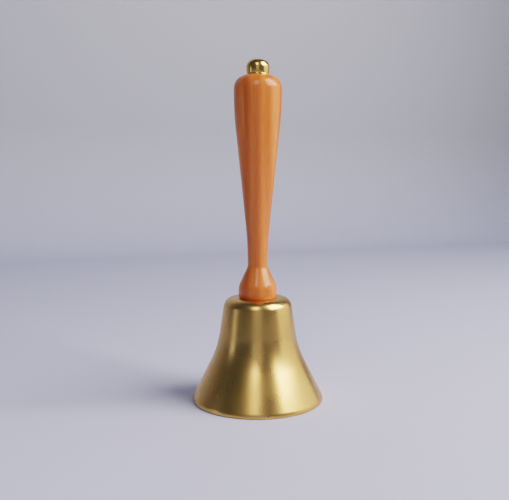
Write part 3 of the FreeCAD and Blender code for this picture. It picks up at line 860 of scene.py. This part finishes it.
@dataclass
class RodEnd:
    """What holds the bell on the rod inside the crown: washers, the thin nut, the swivel nut."""

    washer_bore: float = 2.8
    lock_section_edge: float = 0.15
    lock_slit_angle: float = 12.0
    thread_radius: float = 2.55
    chamfer_angle: float = 30.0
    face_share: float = 0.985
    swivel_hole: float = 1.3
    swivel_floor: float = 1.5
    softened: float = 0.12
    steps: int = 96

    def build(self) -> None:
        """Build the washers and the two nuts."""
        self.build_plain_washer()
        self.build_lock_washer()
        self.build_nut("thin_nut", "crown_nut", "zinc_steel", Finish.ZINC_STEEL)
        self.build_nut("swivel_nut_body", "swivel_nut", "turned_brass", Finish.TURNED_BRASS,
                       closed_floor=True)

    def build_plain_washer(self) -> bpy.types.Object:
        """Turn the washer against the crown.

        Returns:
            The new object.
        """
        low, high = span("crown_washer")
        shape = ring((self.washer_bore, high.x), (low.z, high.z), steps=self.steps)
        soften(shape, self.softened)
        return add_piece("plain_washer", shape, "root", "crown_washer", "zinc_steel",
                         Finish.ZINC_STEEL)

    def build_lock_washer(self) -> bpy.types.Object:
        """Sweep a square section round all but the slit.

        Returns:
            The new object.
        """
        low, high = span("lock_washer")
        corners = ((self.washer_bore, low.z), (high.x, low.z), (high.x, high.z),
                   (self.washer_bore, high.z))
        shape = bmesh.new()
        section = shape.faces.new([shape.verts.new((a * MM, 0.0, u * MM)) for a, u in corners])
        slit = math.radians(self.lock_slit_angle)
        half_turned = Matrix.Rotation(slit / 2, 3, AXIS)
        bmesh.ops.rotate(shape, verts=shape.verts, cent=(0.0, 0.0, 0.0), matrix=half_turned)
        sweep = math.tau - slit
        bmesh.ops.spin(shape, geom=[section], cent=(0.0, 0.0, 0.0), axis=AXIS, angle=sweep,
                       steps=self.steps, use_duplicate=False)
        bmesh.ops.recalc_face_normals(shape, faces=shape.faces)
        soften(shape, self.lock_section_edge)
        return add_piece("spring_washer", shape, "root", "lock_washer", "spring_steel",
                         Finish.SPRING_STEEL)

    def build_nut(self, name: str, node: str, slot: str, finish: Finish,
                  closed_floor: bool = False) -> bpy.types.Object:
        """Build a hexagon nut whose corners are chamfered by a cone at both faces.

        Args:
            name: The piece's name.
            node: The CAD node that it stands for.
            slot: Name of the material slot, passed on to add_piece.
            finish: Its finish.
            closed_floor: Whether a floor with a small hole closes its lower end.

        Returns:
            The new object.
        """
        low, high = span(node)
        corner = high.x
        flat = corner * math.cos(math.pi / 6)
        face = flat * self.face_share
        slope = math.tan(math.radians(self.chamfer_angle))

        def side(angle: float) -> float:
            """Distance from the axis to the hexagon."""
            return flat / math.cos((angle + math.pi / 6) % (math.pi / 3) - math.pi / 6)

        def lower(angle: float) -> Point:
            """The lower chamfer's edge on the sides."""
            return (side(angle), low.z + (side(angle) - flat) * slope)

        def upper(angle: float) -> Point:
            """The upper chamfer's edge on the sides."""
            return (side(angle), high.z - (side(angle) - flat) * slope)

        loops: list[Callable[[float], Point]] = [
            lambda angle: (face, low.z), lower, upper,
            lambda angle: (face, high.z), lambda angle: (self.thread_radius, high.z)]
        if closed_floor:
            floor = low.z + self.swivel_floor
            loops.append(lambda angle: (self.thread_radius, floor))
            loops.append(lambda angle: (self.swivel_hole, floor))
            loops.append(lambda angle: (self.swivel_hole, low.z))
        else:
            loops.append(lambda angle: (self.thread_radius, low.z))
        shape = stack_loops(loops, self.steps)
        return add_piece(name, shape, "root", node, slot, finish)


def stack_loops(loops: Iterable[Callable[[float], Point]], steps: int) -> bmesh.types.BMesh:
    """Join closed loops round the axis into one skin, the last back to the first.

    Args:
        loops: Each gives, at an angle, the distance from the axis and the height.
        steps: Points on each loop.

    Returns:
        A closed bmesh.
    """
    shape = bmesh.new()
    rings = []
    for loop in loops:
        made = bmesh.ops.create_circle(shape, cap_ends=False, segments=steps, radius=1.0)
        for point in made["verts"]:
            angle = math.atan2(point.co.y, point.co.x)
            across, up = loop(angle)
            point.co = (across * math.cos(angle) * MM, across * math.sin(angle) * MM, up * MM)
        rings.append([edge for edge in shape.edges if edge.verts[0] in made["verts"]])
    for first, second in zip(rings, rings[1:] + rings[:1]):
        bmesh.ops.bridge_loops(shape, edges=first + second)
    bmesh.ops.recalc_face_normals(shape, faces=shape.faces)
    return shape


@dataclass
class Swivel:
    """The headed eye that turns in the swivel nut and carries the clapper's hook."""

    wire: float = 0.9
    eye: float = 3.0
    shank: float = 1.2
    collar_width: float = 0.315
    collar_height: float = 0.36
    collar_curve: float = 1.98
    head_radius: float = 2.35
    head_thickness: float = 1.2
    steps: int = 72
    wire_segments: int = 28

    def build(self) -> bpy.types.Object:
        """Join the ring and the headed shank.

        Returns:
            The new object.
        """
        low, high = span("swivel_eye")
        centre = low.z + self.eye + self.wire
        top = high.z
        ring_shape = self.eye_ring(centre)
        shank_shape = self.headed_shank(centre, top)
        joined = union("swivel_eye_body", ring_shape, shank_shape)
        return add_piece("swivel_eye_body", joined, "hanger", "swivel_eye", "steel_wire",
                         Finish.STEEL_WIRE)

    def eye_ring(self, centre: float) -> bmesh.types.BMesh:
        """Spin the wire's section into the ring, which stands across Y.

        Args:
            centre: Height of the ring's centre, in millimetres.

        Returns:
            A closed bmesh.
        """
        shape = bmesh.new()
        place = Matrix.Translation((self.eye * MM, 0.0, centre * MM))
        made = bmesh.ops.create_circle(shape, cap_ends=False, segments=self.wire_segments,
                                       radius=self.wire * MM, matrix=place)
        middle = (0.0, 0.0, centre * MM)
        bmesh.ops.spin(shape, geom=made["verts"] + list(shape.edges), cent=middle,
                       axis=(0.0, 1.0, 0.0), angle=math.tau, steps=self.steps, use_merge=True)
        bmesh.ops.remove_doubles(shape, verts=shape.verts, dist=MERGE_DISTANCE)
        bmesh.ops.recalc_face_normals(shape, faces=shape.faces)
        return shape

    def headed_shank(self, centre: float, top: float) -> bmesh.types.BMesh:
        """Turn the shank, flared where it meets the ring, and its flat head.

        Args:
            centre: Height of the ring's centre, in millimetres.
            top: Height of the head's top.

        Returns:
            A closed bmesh.
        """
        root = centre + self.eye
        collar_top = root + self.wire + self.collar_height
        outline = Outline((0.0, root), run=0.2)
        outline.line((self.shank + self.collar_width, root))
        outline.arc((self.shank, collar_top), (self.shank + self.collar_curve, collar_top))
        outline.line((self.shank, top - self.head_thickness))
        outline.line((self.head_radius, top - self.head_thickness))
        outline.line((self.head_radius, top))
        outline.line((0.0, top))
        return outline.spin(steps=self.steps, closed=False)


def union(name: str, first: bmesh.types.BMesh, second: bmesh.types.BMesh) -> bmesh.types.BMesh:
    """Join two closed shapes into one skin.

    Args:
        name: Name for the helper meshes.
        first: One shape. It is freed.
        second: The other. It is freed.

    Returns:
        The joined shape.
    """
    helpers = [to_object(f"{name}_first", first), to_object(f"{name}_second", second)]
    joiner = helpers[0].modifiers.new("join", "BOOLEAN")
    joiner.operation = "UNION"
    joiner.solver = "EXACT"
    joiner.object = helpers[1]
    evaluated = helpers[0].evaluated_get(bpy.context.evaluated_depsgraph_get())
    mesh = bpy.data.meshes.new_from_object(evaluated)
    joined = bmesh.new()
    joined.from_mesh(mesh)
    bmesh.ops.remove_doubles(joined, verts=joined.verts, dist=MERGE_DISTANCE)
    for helper in helpers:
        old = helper.data
        bpy.data.objects.remove(helper)
        bpy.data.meshes.remove(old)
    bpy.data.meshes.remove(mesh)
    return joined


@dataclass
class Clapper:
    """The bent wire that hooks through the eye, and the ball brazed on its lower end."""

    wire: float = 1.0
    hook: float = 2.4
    bend: float = 2.0
    opening_angle: float = 55.0
    ball_bore_depth: float = 9.0
    braze_gap: float = 0.02
    braze_rise: float = 0.7
    end_rounding: float = 0.3
    segments: int = 32
    bend_steps: int = 12
    hook_steps: int = 56
    ball_steps: int = 96

    def build(self) -> None:
        """Build the wire and the ball."""
        self.build_wire()
        self.build_ball()

    def build_wire(self) -> bpy.types.Object:
        """Extrude the wire upwards, then spin it round its bend and its hook.

        Returns:
            The new object.
        """
        low, high = span("clapper_rod")
        foot = low.z
        hook_level = high.z - self.wire - self.hook
        reach = self.hook + self.bend
        bend_level = hook_level - math.sqrt(reach ** 2 - self.bend ** 2)
        bend_angle = math.acos(self.bend / reach)
        meeting = math.atan2((bend_level - hook_level) * self.hook / reach,
                             -self.bend * self.hook / reach)
        hook_angle = meeting % math.tau + math.radians(self.opening_angle)
        shape = bmesh.new()
        base = Matrix.Translation((0.0, 0.0, foot * MM))
        bmesh.ops.create_circle(shape, cap_ends=True, segments=self.segments,
                                radius=self.wire * MM, matrix=base)
        bottom = list(shape.faces)
        raised = bmesh.ops.extrude_face_region(shape, geom=bottom, use_keep_orig=True)
        tip = [item for item in raised["geom"] if isinstance(item, bmesh.types.BMFace)]
        moved = [item for item in raised["geom"] if isinstance(item, bmesh.types.BMVert)]
        bmesh.ops.translate(shape, verts=moved, vec=(0.0, 0.0, (bend_level - foot) * MM))
        across = (1.0, 0.0, 0.0)
        tip = self.swing(shape, tip, (0.0, -self.bend * MM, bend_level * MM), across, bend_angle,
                         self.bend_steps)
        self.swing(shape, tip, (0.0, 0.0, hook_level * MM), across, -hook_angle, self.hook_steps)
        bmesh.ops.remove_doubles(shape, verts=shape.verts, dist=MERGE_DISTANCE)
        bmesh.ops.recalc_face_normals(shape, faces=shape.faces)
        soften(shape, self.wire * self.end_rounding)
        return add_piece("clapper_wire", shape, "clapper", "clapper_rod", "steel_wire",
                         Finish.STEEL_WIRE)

    def swing(self, shape: bmesh.types.BMesh, tip: list[bmesh.types.BMFace], centre: Place,
              axis: Place, angle: float, steps: int) -> list[bmesh.types.BMFace]:
        """Carry the wire's end face round a centre.

        Args:
            shape: The wire so far.
            tip: Its end face.
            centre: Centre of the bend, in metres.
            axis: Axis of the bend.
            angle: How far to turn, in radians.
            steps: Faces along the bend.

        Returns:
            The new end face.
        """
        made = bmesh.ops.spin(shape, geom=tip, cent=centre, axis=axis, angle=angle, steps=steps,
                              use_duplicate=False)
        return [item for item in made["geom_last"] if isinstance(item, bmesh.types.BMFace)]

    def build_ball(self) -> bpy.types.Object:
        """Turn the ball with its hole and the small fillet of braze round the wire.

        Returns:
            The new object.
        """
        low, high = span("clapper_ball")
        radius = (high.x - low.x) / 2
        centre = low.z + radius
        bore = self.wire + self.braze_gap
        collar = bore + self.braze_rise
        collar_level = centre + math.sqrt(radius ** 2 - collar ** 2)
        fillet_top = centre + math.sqrt(radius ** 2 - bore ** 2) + self.braze_rise
        floor = centre + radius - self.ball_bore_depth
        outline = Outline((0.0, low.z), run=0.5)
        outline.arc((radius, centre), (0.0, centre))
        outline.arc((collar, collar_level), (0.0, centre))
        outline.arc((bore, fillet_top), (collar, fillet_top))
        outline.line((bore, floor))
        outline.line((0.0, floor))
        shape = outline.spin(steps=self.ball_steps, closed=False)
        return add_piece("clapper_ball_body", shape, "clapper", "clapper_ball", "turned_brass",
                         Finish.TURNED_BRASS)


# ---------------------------------------------------------------------------------------------
# Stage, light and camera
# ---------------------------------------------------------------------------------------------

@dataclass
class SoftBox:
    """One rectangular soft light, aimed at the bell from a compass bearing and a height."""

    name: str
    bearing: float
    elevation: float
    distance: float
    width: float
    height: float
    power: float
    colour: str
    aim_level: float = 0.08
    upright: bool = False

    def build(self) -> bpy.types.Object:
        """Place the light. A bearing of 0 is the camera's side, and positive is to its right.

        Returns:
            The new object.
        """
        turn, rise = math.radians(self.bearing), math.radians(self.elevation)
        direction = Vector((math.sin(turn) * math.cos(rise), -math.cos(turn) * math.cos(rise),
                            math.sin(rise)))
        data = bpy.data.lights.new(self.name, "AREA")
        data.shape = "RECTANGLE"
        data.size, data.size_y = self.width, self.height
        data.energy = self.power
        data.color = linear(self.colour)[:3]
        light = bpy.data.objects.new(self.name, data)
        light.visible_camera = False
        light.location = direction * self.distance + AXIS * self.aim_level
        facing = Vector((direction.x, direction.y, 0.0)) if self.upright else direction
        light.rotation_euler = facing.to_track_quat("Z", "Y").to_euler()
        bpy.context.scene.collection.objects.link(light)
        return light


@dataclass
class Studio:
    """A seamless pale floor and back wall, a curtain round the rest, soft boxes and a dim room."""

    floor_colour: str = "CED1EA"
    # Painted shade: the same paper coloured greyer where it rises as the wall.
    shaded_wall_colour: str = "BDBFC9"
    wall_distance: float = 0.95
    wall_bearing: float = 18.7
    cove_radius: float = 0.22
    cove_steps: int = 24
    wall_height: float = 1.6
    half_width: float = 3.0
    front_reach: float = 2.4
    floor_drop: float = 0.00005
    room_colour: str = "8A98A8"
    room_strength: float = 0.4
    curtain_radius: float = 1.1
    curtain_middle: Point = (-0.15, 0.15)
    curtain_start: float = 48.0
    curtain_turn: float = 262.0
    curtain_steps: int = 96
    curtain_colour: str = "B9BBC6"
    curtain_strength: float = 1.0

    def build(self) -> None:
        """Build the stage and the lights."""
        self.build_sweep()
        self.build_curtain()
        self.build_room()
        boxes = (
            SoftBox("key_window", bearing=74.0, elevation=48.0, distance=1.2, width=0.78, height=1.12,
                    power=29.5, colour="FFF8F0", upright=True),
            SoftBox("side_box", bearing=98.0, elevation=13.0, distance=1.0, width=1.2, height=0.6,
                    power=3.0, colour="FFF8F0"),
            SoftBox("front_box", bearing=-7.0, elevation=42.0, distance=0.95, width=0.24, height=0.5,
                    power=1.9, colour="FFF8F0"),
            SoftBox("front_card", bearing=-1.0, elevation=11.0, distance=1.0, width=0.5, height=0.4,
                    power=0.3, colour="FFFFFF"),
            SoftBox("left_box", bearing=-76.0, elevation=3.5, distance=1.0, width=0.2, height=0.2,
                    power=0.2, colour="F2F2FF"),
        )
        for box in boxes:
            box.build()
        log.info("studio: %d soft boxes", len(boxes))

    def build_sweep(self) -> bpy.types.Object:
        """Extrude floor, cove and wall as one sheet.

        Returns:
            The new object.
        """
        cove = self.cove_radius
        shape = bmesh.new()
        path = [(-self.front_reach, 0.0), (self.wall_distance - cove, 0.0)]
        for i in range(1, self.cove_steps + 1):
            angle = math.radians(90.0) * i / self.cove_steps
            path.append((self.wall_distance - cove + cove * math.sin(angle),
                         cove - cove * math.cos(angle)))
        path.append((self.wall_distance, self.wall_height))
        points = [shape.verts.new((-self.half_width, along, up - self.floor_drop))
                  for along, up in path]
        edges = [shape.edges.new(pair) for pair in zip(points, points[1:])]
        made = bmesh.ops.extrude_edge_only(shape, edges=edges)
        moved = [item for item in made["geom"] if isinstance(item, bmesh.types.BMVert)]
        bmesh.ops.translate(shape, verts=moved, vec=(2 * self.half_width, 0.0, 0.0))
        turned = Matrix.Rotation(math.radians(self.wall_bearing), 4, "Z")
        bmesh.ops.transform(shape, matrix=turned, verts=shape.verts)
        bmesh.ops.recalc_face_normals(shape, faces=shape.faces)
        for face in shape.faces:
            face.smooth = True
        sweep = to_object("sweep", shape)
        sweep.data.materials.append(
            StagePaper("stage_paper", self.floor_colour, self.shaded_wall_colour, rise=(0.0, cove)).build())
        return sweep

    def build_curtain(self) -> bpy.types.Object:
        """Spin a pale curtain round the open side, seen but casting no light on the bell.

        Returns:
            The new object.
        """
        shape = bmesh.new()
        across, along = self.curtain_middle
        foot = shape.verts.new((across + self.curtain_radius, along, -self.floor_drop))
        head = shape.verts.new((across + self.curtain_radius, along, self.wall_height))
        edge = shape.edges.new((foot, head))
        middle = (across, along, 0.0)
        start = Matrix.Rotation(math.radians(self.curtain_start), 3, AXIS)
        bmesh.ops.rotate(shape, verts=shape.verts, cent=middle, matrix=start)
        bmesh.ops.spin(shape, geom=[foot, head, edge], cent=middle, axis=AXIS,
                       angle=-math.radians(self.curtain_turn), steps=self.curtain_steps,
                       use_duplicate=False)
        curtain = to_object("curtain", shape)
        curtain.data.materials.append(
            LitMuslin("lit_muslin", self.curtain_colour, self.curtain_strength).build())
        curtain.visible_diffuse = False
        curtain.visible_glossy = False
        curtain.visible_transmission = False
        curtain.visible_shadow = False
        return curtain

    def build_room(self) -> None:
        """Fill the room with an even dim light."""
        world = bpy.data.worlds.new("room")
        bpy.context.scene.world = world
        world.use_nodes = True
        background = world.node_tree.nodes["Background"]
        background.inputs["Color"].default_value = linear(self.room_colour)
        background.inputs["Strength"].default_value = self.room_strength


@dataclass
class Camera:
    """The camera, in front of the bell, above its shoulder and tilted a little down."""

    distance: float = 0.4138
    height: float = 0.1348
    side: float = -0.0019
    tilt: float = 6.255
    lens: float = 50.0
    sensor: float = 36.0
    nearest: float = 0.01
    farthest: float = 20.0

    def build(self) -> bpy.types.Object:
        """Place the camera and make it the scene's own.

        Returns:
            The new object.
        """
        data = bpy.data.cameras.new("camera")
        data.lens = self.lens
        data.sensor_width = self.sensor
        data.clip_start = self.nearest
        data.clip_end = self.farthest
        camera = bpy.data.objects.new("camera", data)
        camera.location = (self.side, -self.distance, self.height)
        camera.rotation_euler = (math.radians(90.0 - self.tilt), 0.0, 0.0)
        bpy.context.scene.collection.objects.link(camera)
        bpy.context.scene.camera = camera
        return camera


def dress_tie_rod() -> None:
    """Give the rod, which the nuts and the handle hide, its plated steel."""
    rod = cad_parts["tie_rod"]
    rod.data.materials.clear()
    rod.data.materials.append(Finish.ZINC_STEEL.material)


def main() -> None:
    """Build the whole scene in order."""
    logging.basicConfig(level=logging.INFO, format="%(name)s: %(message)s")
    Camera().build()
    Studio().build()
    BellShell().build()
    Handle().build()
    Cap().build()
    RodEnd().build()
    Swivel().build()
    Clapper().build()
    dress_tie_rod()
    scene = bpy.context.scene
    scene.view_settings.view_transform = "Filmic"
    scene.view_settings.look = "High Contrast"
    scene.view_settings.exposure = VIEW_EXPOSURE


if __name__ == "__main__":
    main()
